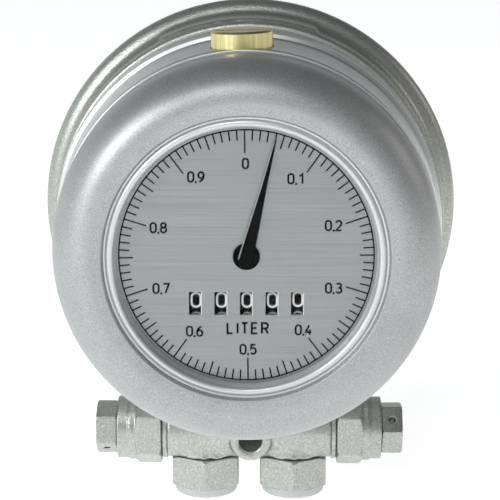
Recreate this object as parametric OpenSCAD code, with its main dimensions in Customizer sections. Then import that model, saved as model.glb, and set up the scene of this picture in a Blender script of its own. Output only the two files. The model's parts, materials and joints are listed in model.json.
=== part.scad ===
// Ring-piston flow meter for thin oil, with a dial head that turns on its casting.
//
// The frame: X to the right of the dial, Y from front to back, Z up. The origin is the
// centre of the flat back face, on the axis of the head. A depth d is measured from the
// dial's face towards the back, so a point at depth d has Y = dial_y + d.

/* [Dial head] */
// Depth of the meter, from the dial's face to the back face
meter_depth = 74; // [74:1:78]
// Radius of the bezel where it is widest
bezel_r = 45; // [44.8:0.1:45.4]
// How far the bezel's dome stands in front of the dial
bezel_rise = 5; // [4:0.5:7]
// Radius of the neck that the head turns on
neck_r = 41; // [40.6:0.1:41]
// Thickness of the window
glass_t = 1.1; // [0.8:0.1:1.1]
// Length of the pointer from its axis to its tip
pointer_len = 28.5; // [20:0.5:28.5]
// Angle of the pointer, clockwise from zero
pointer_angle = 13.8; // [0:0.1:359.9]

/* [Counter] */
// Number of digit drums
drum_count = 5; // [5:1:5]
// Distance from one drum to the next
drum_pitch = 5.85; // [5.8:0.05:5.9]
// Radius of a drum
drum_r = 7.5; // [7.3:0.1:7.5]
// Height of the windows in the dial
slot_h = 5.6; // [4:0.1:6]
// Width of the windows in the dial
slot_w = 3; // [2.5:0.1:3.6]

/* [Casting] */
// Radius of the rim's centre line
rim_r = 50; // [50:0.5:52]
// Radius of the rim's round section
rim_tube_r = 3.7; // [3:0.1:3.8]
// Height of the two oil ports' shared axis under the head's axis
manifold_drop = 55.8; // [55.8:0.1:57]
// Distance between the two pipe connections
pipe_pitch = 22.6; // [22:0.1:24]
// Outer diameter of the pipes that fit
pipe_d = 8; // [6:1:8]
// Hexagon of the union nuts, across flats
nut_af = 17; // [17:1:18]
// Hexagon of the filter caps, across flats
cap_af = 12; // [11:1:13]

/* [Measuring chamber] */
// Radius of the measuring chamber
chamber_r = 20; // [20:1:20]
// Throw of the crank, which is how far the ring piston runs off centre
throw = 3; // [3:1:3]

/* [Hidden] */
$fn = 96;

dial_y = -meter_depth;      // Y of the dial's face
slip = 0.05;                // radial clearance of a pin that turns in its bore
clear = 0.3;                // gap between parts that pass each other

// Colours
silver_lacquer = "#c3c6c6";
hammer_paint = "#b0b4b0";
turned_aluminium = "#b9bcba";
bright_aluminium = "#d0d2d1";
brass_colour = "#b9a24a";
steel_colour = "#9ea2a5";
black_colour = "#141414";
acetal_colour = "#e8e6dc";
rubber_colour = "#26262a";
glass_colour = [0.85, 0.92, 0.92, 0.35];

// Head stations, as depths behind the dial's face
crest_d = -2.8;             // front of the lip around the window
ring_front_d = 16.3;        // where the bezel ends and the turned ring begins
ring_step_d = 36.2;         // step near the back of the turned ring
ring_back_d = 47;           // back of the turned ring
spigot_front_d = 9.5;       // front of the spigot that carries the bezel
neck_front_d = 20;          // front of the casting's neck
casting_front_d = 47.9;     // front face of the casting behind the turned ring
dry_floor_d = 47;           // wall between the movement and the measuring side
cavity_d = 51;              // floor of the measuring cavity
cover_d = meter_depth - 4.5; // seat of the back cover
rim_d = meter_depth - 5.4;  // depth of the rim's centre line

// Lock screw
screw_d = 24.5;
screw_head_r = 7.35;
screw_turn = -1.7;          // the screw sits a little left of twelve o'clock

// Movement: three arbors on one triangle
train_c = 14.4;             // centre distance of every pair of wheels
front_plate_d = [28.6, 30];
middle_plate_d = [36.4, 37.8];
back_plate_d = [41.8, 43.2];
second_at = [-train_c / 2, train_c * sin(60)];
first_at = [train_c / 2, train_c * sin(60)];
plate_r = 31.5;
pillar_r = 1.8;
pillar_ring_r = 29;
slow_module = 0.48;         // 10 and 50 teeth
fast_module = 0.4;          // 8 and 64 teeth
arbor_r = 1.2;
pivot_r = 0.5;

// Counter
drum_axis = [8.9, -11];     // depth and height of the drums' shaft
drum_module = 0.6;          // 20 teeth on a drum, 8 on a transfer pinion
drum_teeth = 20;
pinion_teeth = 8;
pinion_c = drum_module * (drum_teeth + pinion_teeth) / 2;
pinion_axis = [drum_axis[0] + pinion_c * cos(45), drum_axis[1] - pinion_c * sin(45)];
cross_axis = [22.5, -7];
spur_c = norm([cross_axis[0] - drum_axis[0], cross_axis[1] - drum_axis[1]]);
spur_module = 2 * spur_c / 39;  // 26 and 13 teeth
spur_angle = atan2(drum_axis[1] - cross_axis[1], drum_axis[0] - cross_axis[0]);
spur_x = 14;                // near face of the wheels that drive the first drum
rim_w = 4.2;                // width of a drum's printed rim
cheek_x = [17, 18.2];       // the counter frame's cheeks
shaft_r = 1;
worm_module = 0.5;
worm_turns = 4;
worm_tip_r = 2.4;
worm_root_r = 1.35;

// Manifold
port_y = dial_y + 50;
port_z = -manifold_drop;
tube_r = 8.5;
pipe_x = pipe_pitch / 2;
pipe_bore_r = pipe_d / 2 + 0.1;
nut_z = [-70.3, -62.3];
spot_z = nut_z[1] + 0.15;   // milled flat that the nuts turn under
tube_end = 21.2;            // half the length of the cross-tube
socket_z = -60.6;           // where an inserted pipe stops
spigot_z = -66.6;           // end of the threaded spigots
lug_d = 40;                 // front face of the lug
lug_at = [0.4, -56.6];      // X and Z of its hole
hole_r = 2.9;
hole_depth = 12;
washer_t = 1;
SIDES = [-1, 1];

// ---- Helpers ----

// Turns an outline of [radius, depth] points about the head's axis
module turned(outline, angle = 360) {
    rotate([90, 0, 0])
        rotate_extrude(angle = angle)
            polygon([for (p = outline) [p[0], -(dial_y + p[1])]]);
}

// A flat plate between two depths; its outline is drawn as seen from the front
module plate(d0, d1) {
    translate([0, dial_y + d1, 0]) rotate([90, 0, 0]) linear_extrude(height = d1 - d0) children();
}

// A round rod along Y between two depths
module rod(r, d0, d1, at = [0, 0]) {
    translate([at[0], dial_y + d1, at[1]]) rotate([90, 0, 0]) cylinder(r = r, h = d1 - d0);
}

// A flat piece across the head, between two X places; its outline is [Y, Z]
module across(x0, x1) {
    translate([x0, 0, 0]) rotate([90, 0, 90]) linear_extrude(height = x1 - x0) children();
}

// A round rod along X at a [depth, height]
module cross_rod(r, x0, x1, at) {
    translate([x0, dial_y + at[0], at[1]]) rotate([0, 90, 0]) cylinder(r = r, h = x1 - x0);
}

// Points of an arc of an ellipse, from one angle to another
function arc(centre, rx, ry, a0, a1, steps) =
    [for (i = [0 : steps]) let (a = a0 + (a1 - a0) * i / steps) centre + [rx * cos(a), ry * sin(a)]];

// Half the angle that an involute tooth fills at radius r
function tooth_half(teeth, m, play, r) =
    let (rp = teeth * m / 2, rb = rp * cos(20), a = r <= rb ? 0 : acos(rb / r))
    90 / teeth - play / teeth / m * 180 / PI + (tan(20) - tan(a)) * 180 / PI - 20 + a;

// A spur gear's outline, with a tooth on the +X side
module gear(teeth, m, addendum, dedendum, bore, play = 0.12, steps = 2) {
    root = teeth * m / 2 - dedendum * m;
    tip = teeth * m / 2 + addendum * m;
    rise = [for (i = [0 : steps]) root + (tip - root) * i / steps];
    difference() {
        polygon([
            for (t = [0 : teeth - 1]) each concat(
                [for (i = [0 : steps]) let (a = t * 360 / teeth - tooth_half(teeth, m, play, rise[i]))
                    rise[i] * [cos(a), sin(a)]],
                [for (i = [steps : -1 : 0]) let (a = t * 360 / teeth + tooth_half(teeth, m, play, rise[i]))
                    rise[i] * [cos(a), sin(a)]])
        ]);
        if (bore > 0) circle(r = bore, $fn = 48);
    }
}

// A hexagon across flats, with a corner on the +X side
module hexagon(af) { circle(r = af / 2 / cos(30), $fn = 6); }

// A hexagonal nut body along Z with turned corners, from z = 0 to h
module hex_body(af, h, corner) {
    r = af / 2 / cos(30);
    intersection() {
        linear_extrude(height = h) hexagon(af);
        rotate_extrude() polygon([[0, 0], [r - corner, 0], [r + 0.01, corner * 0.6],
            [r + 0.01, h - corner * 0.6], [r - corner, h], [0, h]]);
    }
}

// Puts a part that is drawn along +Z onto the manifold's axis, pointing left or right
module on_port(side) {
    translate([0, port_y, port_z]) rotate([0, 90 * side, 0]) children();
}

// ---- Dial head ----

glass_r = 30.6;
inner_lip_r = 29.8;
groove_r = 32.8;
dome_crest_r = bezel_r - 9.5;
bezel_wall = 1.8;
bezel_wide_d = 6.5;
glass_d = crest_d + 0.2;

module bezel() {
    outer = concat(
        [[inner_lip_r, 0], [inner_lip_r, -0.6],
         [glass_r - 0.1, glass_d + glass_t], [glass_r + 0.3, glass_d + glass_t],
         [glass_r + 0.3, crest_d + 0.1], [31.1, crest_d], [31.9, crest_d], [groove_r - 0.1, -1.7]],
        arc([dome_crest_r, -1.7], dome_crest_r - groove_r, bezel_rise - 1.7, 180, 270, 6),
        arc([dome_crest_r, bezel_wide_d], bezel_r - dome_crest_r, bezel_rise + bezel_wide_d, -86, 0, 18),
        [[bezel_r - 0.15, 12], [bezel_r - 0.6, ring_front_d]]);
    inner = concat(
        [[bezel_r - bezel_wall, ring_front_d]],
        arc([dome_crest_r, bezel_wide_d], bezel_r - bezel_wall - dome_crest_r,
            bezel_rise + bezel_wide_d - bezel_wall, 0, -80, 10),
        [[34.6, 0]]);
    color(silver_lacquer) turned(concat(outer, inner));
}

module window_glass() {
    color(glass_colour) rod(glass_r, glass_d, glass_d + glass_t);
}

module window_gasket() {
    color(rubber_colour) turned([[glass_r, glass_d + 0.3], [glass_r + 0.3, glass_d + 0.3],
        [glass_r + 0.3, glass_d + glass_t], [glass_r, glass_d + glass_t]]);
}

module dial_plate() {
    color(bright_aluminium) difference() {
        rod(30.5, 0, 1);
        rod(arbor_r + 0.4, -1, 2);
        plate(-1, 2)
            for (i = [0 : drum_count - 1])
                translate([(i - (drum_count - 1) / 2) * drum_pitch, drum_axis[1]])
                    square([slot_w, slot_h], center = true);
    }
}

module dial_carrier() {
    color(turned_aluminium) difference() {
        turned([[24, 1], [35.7, 1], [35.7, 8], [bezel_r - bezel_wall, 8],
            [bezel_r - bezel_wall, spigot_front_d], [34.2, spigot_front_d], [34.2, 2.5], [24, 2.5]]);
        pillar_places() circle(r = pillar_r);
    }
}

// The turned ring: the bezel's spigot, a stop for the neck, and the pocket of the lock screw
module head_ring() {
    bore = neck_r + slip + 0.02;
    color(turned_aluminium) difference() {
        turned([[neck_r + 0.2, spigot_front_d], [bezel_r - bezel_wall, spigot_front_d],
            [bezel_r - bezel_wall, ring_front_d], [bezel_r - 0.7, ring_front_d], [bezel_r + 0.6, 18],
            [bezel_r + 0.8, 20.5], [bezel_r + 1.6, 33], [bezel_r + 1.9, ring_step_d - 0.3],
            [bezel_r + 2.7, ring_step_d + 0.1], [bezel_r + 2.9, ring_back_d - 0.4],
            [bezel_r + 2.5, ring_back_d], [bore, ring_back_d], [bore, neck_front_d - 0.6],
            [neck_r - 2.5, neck_front_d - 0.6], [neck_r - 2.5, ring_front_d], [neck_r + 0.2, ring_front_d]]);
        on_lock_screw() {
            translate([0, 0, neck_r + 2.3]) cylinder(r = screw_head_r + 0.2, h = 10);
            translate([0, 0, neck_r - 1]) cylinder(r = 3, h = 5);
        }
    }
}

// Puts a part that is drawn along +Z onto the lock screw's axis
module on_lock_screw() {
    translate([0, dial_y + screw_d, 0]) rotate([0, screw_turn, 0]) children();
}

module lock_screw() {
    head_z = neck_r + 2.4;
    top_z = neck_r + 8.4;
    color(brass_colour) on_lock_screw() difference() {
        rotate_extrude() polygon([[0, neck_r - 1.1], [1.5, neck_r - 1.1], [1.5, neck_r + 0.4],
            [3 - slip, neck_r + 0.4], [3 - slip, head_z], [screw_head_r, head_z],
            [screw_head_r, top_z - 0.5], [screw_head_r - 0.5, top_z], [0, top_z]]);
        translate([0, 0, top_z]) cube([20, 2.2, 3], center = true);
    }
}

// ---- Movement ----

module pillar_places() {
    plate(0, 60)
        for (a = [90, 210, 330]) translate(pillar_ring_r * [cos(a), sin(a)]) children();
}

module bored_plate(depths, holes) {
    color(brass_colour) difference() {
        rod(plate_r, depths[0], depths[1]);
        pillar_places() circle(r = pillar_r);
        for (h = holes) rod(h[1], depths[0] - 1, depths[1] + 1, h[0]);
        children();
    }
}

module front_plate() {
    bored_plate(front_plate_d,
        [[[0, 0], arbor_r + slip], [first_at, pivot_r + slip], [second_at, pivot_r + slip]])
        plate(20, 35) translate([12.8, -19]) square([4, 23]);
}

module middle_plate() {
    bored_plate(middle_plate_d,
        [[[0, 0], pivot_r + slip], [first_at, arbor_r + clear], [second_at, pivot_r + slip]]);
}

module back_plate() {
    bored_plate(back_plate_d, [[[0, 0], arbor_r + slip], [first_at, pivot_r + slip]]);
}

module movement_pillars() {
    color(steel_colour)
        for (a = [90, 210, 330])
            rod(pillar_r, 1, back_plate_d[1] + 0.6, pillar_ring_r * [cos(a), sin(a)]);
}

module counter_frame() {
    foot_d = front_plate_d[0];
    color(brass_colour) difference() {
        union() {
            for (side = SIDES)
                across(side < 0 ? -cheek_x[1] : cheek_x[0], side < 0 ? -cheek_x[0] : cheek_x[1])
                    polygon([for (p = [[5, -6], [5, -16], [12, -21],
                                       [foot_d, -21], [foot_d, -2.5], [13, -2.5]])
                        [dial_y + p[0], p[1]]]);
            translate([-cheek_x[1], dial_y + foot_d - 1.2, -21]) cube([2 * cheek_x[1], 1.2, 2.6]);
        }
        for (at = [drum_axis, pinion_axis]) cross_rod(shaft_r, -20, 20, at);
        cross_rod(shaft_r + slip, -20, 20, cross_axis);
    }
}

module drum_shaft() {
    color(steel_colour) cross_rod(shaft_r, -19, 19, drum_axis);
}

module pinion_shaft() {
    color(steel_colour) difference() {
        cross_rod(shaft_r, -19, 19, pinion_axis);
        cross_rod(2, -16.9, 16.9, pinion_axis);
    }
    color(steel_colour) cross_rod(0.6, -16.95, 16.95, pinion_axis);
}

// Drum k counts from the right; k = 1 shows single units
function drum_x(k) = ((drum_count + 1) / 2 - k) * drum_pitch;

// Outline of a gear in [Y, Z] about a [depth, height], turned by an angle
module gear_at(at, turn) {
    translate([dial_y + at[0], at[1]]) rotate(turn) children();
}

module number_drum(k) {
    x = drum_x(k);
    bore = shaft_r + slip;
    color(black_colour) {
        difference() {
            cross_rod(drum_r, x - rim_w / 2, x + rim_w / 2, drum_axis);
            cross_rod(bore, x - 5, x + 5, drum_axis);
            for (side = SIDES)
                difference() {
                    cross_rod(drum_r - 0.9,
                        side < 0 ? x - 3 : x + 1.2, side < 0 ? x - 1.2 : x + 3, drum_axis);
                    cross_rod(2.4, x - 4, x + 4, drum_axis);
                }
        }
        if (k > 1)
            across(x + 1.2, x + rim_w / 2 + 1.2) gear_at(drum_axis, -45)
                gear(drum_teeth, drum_module, 0.8, 1, bore, 0.2);
        else
            across(x + 1.2, spur_x + 2) gear_at(drum_axis, spur_angle + 180)
                gear(13, spur_module, 0.8, 1, bore, 0.2);
    }
}

// Pinion k carries from drum k to drum k + 1
module transfer_pinion(k) {
    x = drum_x(k + 1) + rim_w / 2 + 0.2;
    color(acetal_colour)
        across(x, x + 1) gear_at(pinion_axis, 135 + 180 / pinion_teeth)
            gear(pinion_teeth, drum_module, 0.8, 1, 0.6 + slip, 0.2);
}

module cross_shaft() {
    color(steel_colour) cross_rod(shaft_r, -18.6, 18.6, cross_axis);
}

module worm_wheel() {
    color(acetal_colour) {
        across(-0.7, 0.7) gear_at(cross_axis, 90) gear(20, worm_module, 0.8, 1.2, shaft_r, 0.3);
        for (side = SIDES)
            difference() {
                cross_rod(2.2, side < 0 ? -3 : 0.7, side < 0 ? -0.7 : 3, cross_axis);
                cross_rod(shaft_r, -4, 4, cross_axis);
            }
    }
}

module counter_wheel() {
    color(acetal_colour)
        across(spur_x + 0.2, spur_x + 1.6) gear_at(cross_axis, spur_angle + 180 / 26)
            gear(26, spur_module, 0.8, 1, shaft_r, 0.2);
}

// ---- Pointer train ----

// The blade is a channel: a flat strip with two raised edges
module pointer() {
    color(black_colour) rotate([0, pointer_angle, 0]) {
        plate(-0.75, -0.45) polygon(blade_outline(0));
        plate(-1.15, -0.75) difference() {
            polygon(blade_outline(0));
            polygon(blade_outline(0.35));
        }
        rod(arbor_r + 0.5, -1.15, -0.45);
    }
}

// Outline of the pointer's blade, drawn in by a margin
function blade_outline(margin) =
    let (w0 = 1.85 - margin, w1 = 0.85 - margin * 0.9)
    concat(arc([0, -1.6], w0, 1.2 - margin, 180, 360, 8),
        [[w1, pointer_len - 1.5], [0.12, pointer_len - margin * 3], [-0.12, pointer_len - margin * 3],
         [-w1, pointer_len - 1.5]]);

module pointer_disc() {
    color(black_colour) rod(3.1, -0.45, -0.1);
}

module pointer_arbor() {
    color(steel_colour) {
        rod(arbor_r, -0.1, middle_plate_d[0] - 0.2);
        rod(pivot_r, middle_plate_d[0] - 0.2, middle_plate_d[0] + 0.65);
    }
}

// The thread's radius at each angle of the worm's cross-section
function thread_r(a) =
    let (away = min(abs(a), 360 - abs(a)), slope = (away - 38) / (125 - 38))
    worm_tip_r - (worm_tip_r - worm_root_r) * max(0, min(1, slope));

module worm() {
    lead = PI * worm_module;
    mid_d = cross_axis[0];
    color(brass_colour) difference() {
        translate([0, dial_y + mid_d, 0]) rotate([90, 0, 0])
            linear_extrude(height = lead * worm_turns, twist = 360 * worm_turns, center = true,
                slices = 64, $fn = 12)
                polygon([for (a = [0 : 20 : 340]) thread_r(a) * [cos(a + 90), sin(a + 90)]]);
        rod(arbor_r, mid_d - 6, mid_d + 6);
    }
}

module centre_wheel() {
    color(brass_colour) difference() {
        union() {
            plate(31, 32.6) rotate(120 + 3.6) gear(50, slow_module, 0.6, 1.1, 0);
            rod(3, 30.4, 33.4);
        }
        rod(arbor_r, 30, 34);
    }
}

// An arbor with its pinion cut on it
module arbor(at, d0, d1, pinion_d, teeth, m, turn) {
    color(steel_colour) {
        rod(pivot_r, d0, d0 + 1.6, at);
        rod(arbor_r * 0.8, d0 + 1.6, d1 - 1.6, at);
        rod(pivot_r, d1 - 1.6, d1, at);
        plate(pinion_d[0], pinion_d[1]) translate(at) rotate(turn)
            gear(teeth, m, 0.8, 0.95, 0, 0.12);
    }
}

// A thin wheel on its arbor
module train_wheel(at, d0, turn) {
    color(brass_colour) difference() {
        plate(d0, d0 + 0.8) translate(at) rotate(turn) gear(64, fast_module, 0.45, 1.1, 0);
        rod(arbor_r * 0.8, d0 - 1, d0 + 2, at);
        for (a = [0 : 60 : 300])
            rod(2.6, d0 - 1, d0 + 2, at + 7.4 * [cos(a + turn), sin(a + turn)]);
    }
}

module second_arbor() { arbor(second_at, 28.7, 37.7, [30.6, 33], 10, slow_module, -60); }
module second_wheel() { train_wheel(second_at, 34.2, 0); }
module first_arbor() { arbor(first_at, 28.7, 43.1, [33.8, 35.4], 8, fast_module, 180 + 22.5); }
module first_wheel() { train_wheel(first_at, 39.4, 240); }

module magnet_arbor() {
    color(steel_colour) {
        rod(pivot_r, middle_plate_d[1] - 0.65, middle_plate_d[1] + 0.2);
        rod(arbor_r, middle_plate_d[1] + 0.2, 46.4);
        plate(38.8, 40.8) rotate(60 + 22.5) gear(8, fast_module, 0.8, 0.95, 0, 0.12);
    }
}

module upper_magnet() {
    color(black_colour) turned([[arbor_r, 43.9], [2.6, 43.9], [2.6, 46.2], [arbor_r, 46.2]]);
}

// ---- Casting and measuring side ----

screw_ring_r = 40;
SCREW_ANGLES = [for (i = [0 : 7]) 22.5 + 45 * i];

module casting() {
    color(hammer_paint) difference() {
        union() {
            casting_bowl();
            casting_pad();
            casting_manifold();
        }
        rod(24.5, cavity_d, cover_d + 1);
        rod(9, dry_floor_d - 1, cavity_d + 1);
        casting_pockets();
        for (a = SCREW_ANGLES) rod(2, 60, cover_d + 1, screw_ring_r * [cos(a), sin(a)]);
        turned([[28, cover_d - 1], [31, cover_d - 1], [31, cover_d + 1], [28, cover_d + 1]]);
        for (side = SIDES) oil_way(side);
        rod(hole_r, lug_d - 1, lug_d + hole_depth, lug_at);
    }
}

module casting_bowl() {
    collar_r = rim_r - 0.7;
    turned(concat(
        [[neck_r - 3, neck_front_d], [neck_r, neck_front_d],
         [neck_r, 22.7], [neck_r - 1.4, 22.7], [neck_r - 1.4, 26.3], [neck_r, 26.3],
         [neck_r, 42.2], [neck_r - 1.5, 42.2], [neck_r - 1.5, 44.2], [neck_r, 44.2],
         [neck_r, casting_front_d]],
        arc([collar_r - 1.2, casting_front_d + 1.2], 1.2, 1.2, -90, 0, 5),
        [[collar_r, rim_d - rim_tube_r - 2.2]],
        arc([rim_r + 1.5, rim_d - rim_tube_r - 2.2], 2.2, 2.2, 180, 130, 4),
        arc([rim_r, rim_d], rim_tube_r, rim_tube_r, -78, 90, 16),
        [[46.1, rim_d + rim_tube_r], [46.1, cover_d], [0, cover_d],
         [0, dry_floor_d], [neck_r - 3, dry_floor_d]]));
}

// A raised pad on top of the collar
module casting_pad() {
    rotate([0, -70, 0])
        turned([[rim_r - 3, casting_front_d + 1.2], [rim_r + 0.2, casting_front_d + 1.2],
            [rim_r + 0.2, rim_d - 4], [rim_r - 3, rim_d - 4]], angle = 47);
}

// Cores that keep the casting's walls even, open to the dry side
module casting_pockets() {
    for (a = [-20, 30, 80, 130, 180])
        rotate([0, -a, 0]) turned([[27.5, dry_floor_d - 1], [36, dry_floor_d - 1], [36, 62], [27.5, 62]], 38);
}

// Cross-tube with a boss over each pipe, milled flat above the nuts, and the lug for the bracket
module casting_manifold() {
    difference() {
        union() {
            translate([-16, dial_y + 49.5, port_z]) cube([32, 14, 14]);
            translate([-tube_end, port_y, port_z]) rotate([0, 90, 0]) cylinder(r = tube_r, h = 2 * tube_end);
            rod(5.3, lug_d, 58, lug_at);
            for (side = SIDES) translate([side * pipe_x, port_y, spot_z]) {
                cylinder(r = tube_r - 0.3, h = 12);
                cylinder(r = tube_r, h = 0.6);
            }
        }
        translate([-25, port_y - 20, spot_z - 10]) cube([50, 40, 10]);
    }
    for (side = SIDES) translate([side * pipe_x, port_y, spigot_z]) cylinder(r = 6.9, h = 6);
}

// Pipe socket, filter bore and the way up into the measuring cavity
module oil_way(side) {
    translate([side * pipe_x, port_y, 0]) {
        translate([0, 0, -67]) cylinder(r = pipe_bore_r, h = 67 + socket_z);
        translate([0, 0, -62]) cylinder(r = 3, h = 10);
    }
    on_port(side) translate([0, 0, 7]) cylinder(r = 5, h = 20);
    translate([side * pipe_x, dial_y + 54, -58]) cylinder(r = 2.9, h = 42);
}

module neck_seal() {
    color(rubber_colour)
        turned(arc([neck_r - 0.75, 43.2], 0.75, 1, 0, 345, 23));
}

module separating_cup() {
    color(steel_colour) turned([[0, 47.4], [9, 47.4], [9, 50.4], [7.4, 50.4], [7.4, 48.1],
        [0.8, 48.1], [0.8, 53.6], [0, 53.6]]);
}

module lower_magnet() {
    color(black_colour) turned([[0.8 + slip, 48.7], [5.2, 48.7], [5.2, 52.3], [0.8 + slip, 52.3]]);
}

module drive_crank() {
    color(acetal_colour) difference() {
        turned([[0.8 + slip, 52.3], [5.2, 52.3], [5.2, 53.7], [0.8 + slip, 53.7]]);
        rod(1.5 + slip, 52, 55, [0, throw]);
    }
}

module measuring_chamber() {
    color(brass_colour) turned([[5, 54], [5, 55.2], [chamber_r, 55.2], [chamber_r, 63.2],
        [24.4, 63.2], [24.4, cavity_d], [20.5, cavity_d], [20.5, 54]]);
}

// Parts the inlet side of the chamber from the outlet side
module partition_plate() {
    color(steel_colour) translate([-0.5, dial_y + 56.5, -19.95]) cube([1, 6.7, 8.5]);
}

module ring_piston() {
    web = [55.3, 56.3];
    color(acetal_colour) translate([0, 0, throw]) difference() {
        union() {
            turned([[0, web[0]], [16.9, web[0]], [16.9, 63.1], [14.5, 63.1], [14.5, web[1]], [0, web[1]]]);
            rod(1.5, 52.4, web[0] + 0.5);
        }
        translate([-3.9, dial_y + 56.4, -20]) cube([7.8, 10, 10]);
    }
}

module chamber_lid() {
    color(brass_colour) difference() {
        turned([[9.4, 56.5], [11.4, 56.5], [11.4, 63.2], [24.4, 63.2], [24.4, 65.7], [0, 65.7],
            [0, 63.2], [9.4, 63.2]]);
        for (side = SIDES) rod(2.4, 60, 67, [side * 6.5, -14.2]);
    }
}

module back_cover() {
    color(hammer_paint) difference() {
        union() {
            rod(46.05, cover_d, meter_depth);
            turned([[21, 65.7], [24, 65.7], [24, cover_d + 1], [21, cover_d + 1]]);
        }
        for (a = SCREW_ANGLES) {
            rod(2.2, cover_d - 1, meter_depth + 1, screw_ring_r * [cos(a), sin(a)]);
            rod(3.7, cover_d + 1.5, meter_depth + 1, screw_ring_r * [cos(a), sin(a)]);
        }
        for (side = SIDES) rod(2.4, 65, cover_d, [side * 6.5, -22]);
    }
}

module cover_seal() {
    color(rubber_colour) turned([[28, cover_d - 1], [31, cover_d - 1], [31, cover_d], [28, cover_d]]);
}

module cover_screws() {
    color(steel_colour)
        for (a = SCREW_ANGLES) {
            at = screw_ring_r * [cos(a), sin(a)];
            difference() {
                union() {
                    rod(2, 60.5, cover_d + 1.5, at);
                    rod(3.5, cover_d + 1.5, meter_depth - 0.2, at);
                }
                plate(meter_depth - 1.8, meter_depth) translate(at) rotate(a) hexagon(3);
            }
        }
}

// ---- Ports ----

module filter_housing(side) {
    color(hammer_paint) on_port(side) difference() {
        union() {
            translate([0, 0, 14]) cylinder(r = 4.95, h = 9);
            translate([0, 0, tube_end + washer_t]) cylinder(r = 7.6, h = 1.2);
            translate([0, 0, 22.6]) hex_body(nut_af, 6.4, 0.9);
            translate([0, 0, 29]) cylinder(r = 8.4, h = 2);
            translate([0, 0, 31]) cylinder(r = 8.05, h = 3);
        }
        translate([0, 0, 13]) cylinder(r = 4, h = 20);
        translate([0, 0, 30.3]) cylinder(r = 5, h = 5);
        translate([0, 0, 33.6]) cylinder(r = 6.5, h = 1);
    }
}

module housing_washers() {
    color(turned_aluminium)
        for (side = SIDES) on_port(side) translate([0, 0, tube_end]) difference() {
            cylinder(r = 8, h = washer_t);
            translate([0, 0, -1]) cylinder(r = 5.05, h = 4);
        }
}

module strainers() {
    color(steel_colour)
        for (side = SIDES) on_port(side) difference() {
            translate([0, 0, 9]) cylinder(r = 3.9, h = 21);
            translate([0, 0, 9.6]) cylinder(r = 3.4, h = 21);
        }
}

module filter_cap(side, turn) {
    plug_r = 5 - slip;
    color(hammer_paint) on_port(side) rotate(turn) difference() {
        union() {
            translate([0, 0, 34.05]) hex_body(cap_af, 5.45, 0.6);
            translate([0, 0, 30.4]) cylinder(r = plug_r, h = 4);
        }
        translate([0, 0, 36.8]) rotate([0, 90, 30]) cylinder(r = 0.85, h = 20, center = true);
    }
}

module cap_seals() {
    color(rubber_colour)
        for (side = SIDES) on_port(side) translate([0, 0, 33.6]) difference() {
            cylinder(r = 6.5, h = 0.4);
            translate([0, 0, -1]) cylinder(r = 5.05, h = 4);
        }
}

module union_nut(side) {
    height = nut_z[1] - nut_z[0];
    color(hammer_paint) translate([side * pipe_x, port_y, nut_z[0]]) difference() {
        rotate(30) hex_body(nut_af, height, 0.9);
        translate([0, 0, -1]) cylinder(r = 4.6, h = height);
        translate([0, 0, 2]) cylinder(r = 6.9 + slip, h = height);
    }
}

module thrust_collars() {
    color(bright_aluminium)
        for (side = SIDES) translate([side * pipe_x, port_y, -72.8]) rotate_extrude()
            polygon(concat([[pipe_bore_r + 0.05, 0]], arc([7.05, 1], 1, 1, -90, 0, 5),
                [[8.05, 2.35], [4.55, 2.35], [4.55, 4.6], [pipe_bore_r + 0.05, 4.6]]));
}

module cutting_rings() {
    color(brass_colour)
        for (side = SIDES) translate([side * pipe_x, port_y, -68.2]) rotate_extrude()
            polygon([[pipe_bore_r + 0.05, 0], [6, 0], [6, 1.2], [5.4, 1.6], [pipe_bore_r + 0.05, 1.6]]);
}

bezel();
window_glass();
window_gasket();
dial_plate();
dial_carrier();
head_ring();
lock_screw();
front_plate();
middle_plate();
back_plate();
movement_pillars();
counter_frame();
drum_shaft();
pinion_shaft();
for (k = [1 : drum_count])
    number_drum(k);
for (k = [1 : drum_count - 1])
    transfer_pinion(k);
cross_shaft();
worm_wheel();
counter_wheel();
pointer();
pointer_disc();
pointer_arbor();
worm();
centre_wheel();
second_arbor();
second_wheel();
first_arbor();
first_wheel();
magnet_arbor();
upper_magnet();
casting();
neck_seal();
separating_cup();
lower_magnet();
drive_crank();
measuring_chamber();
partition_plate();
ring_piston();
chamber_lid();
back_cover();
cover_seal();
cover_screws();
filter_housing(-1);  // filter_housing_left
filter_housing(1);  // filter_housing_right
housing_washers();
strainers();
filter_cap(-1, 7);  // filter_cap_left
filter_cap(1, 24);  // filter_cap_right
cap_seals();
union_nut(-1);  // union_nut_left
union_nut(1);  // union_nut_right
thrust_collars();
cutting_rings();
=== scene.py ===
"""Looks for the dial flow meter: finishes for its CAD parts, the printed dial and drums, and a pale stage.

The row frame: X to the right of the dial, Y from front to back, Z up, metres. A depth is measured in
millimetres behind the dial's face, and outlines are lists of (radius, depth) in millimetres.
"""

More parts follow.
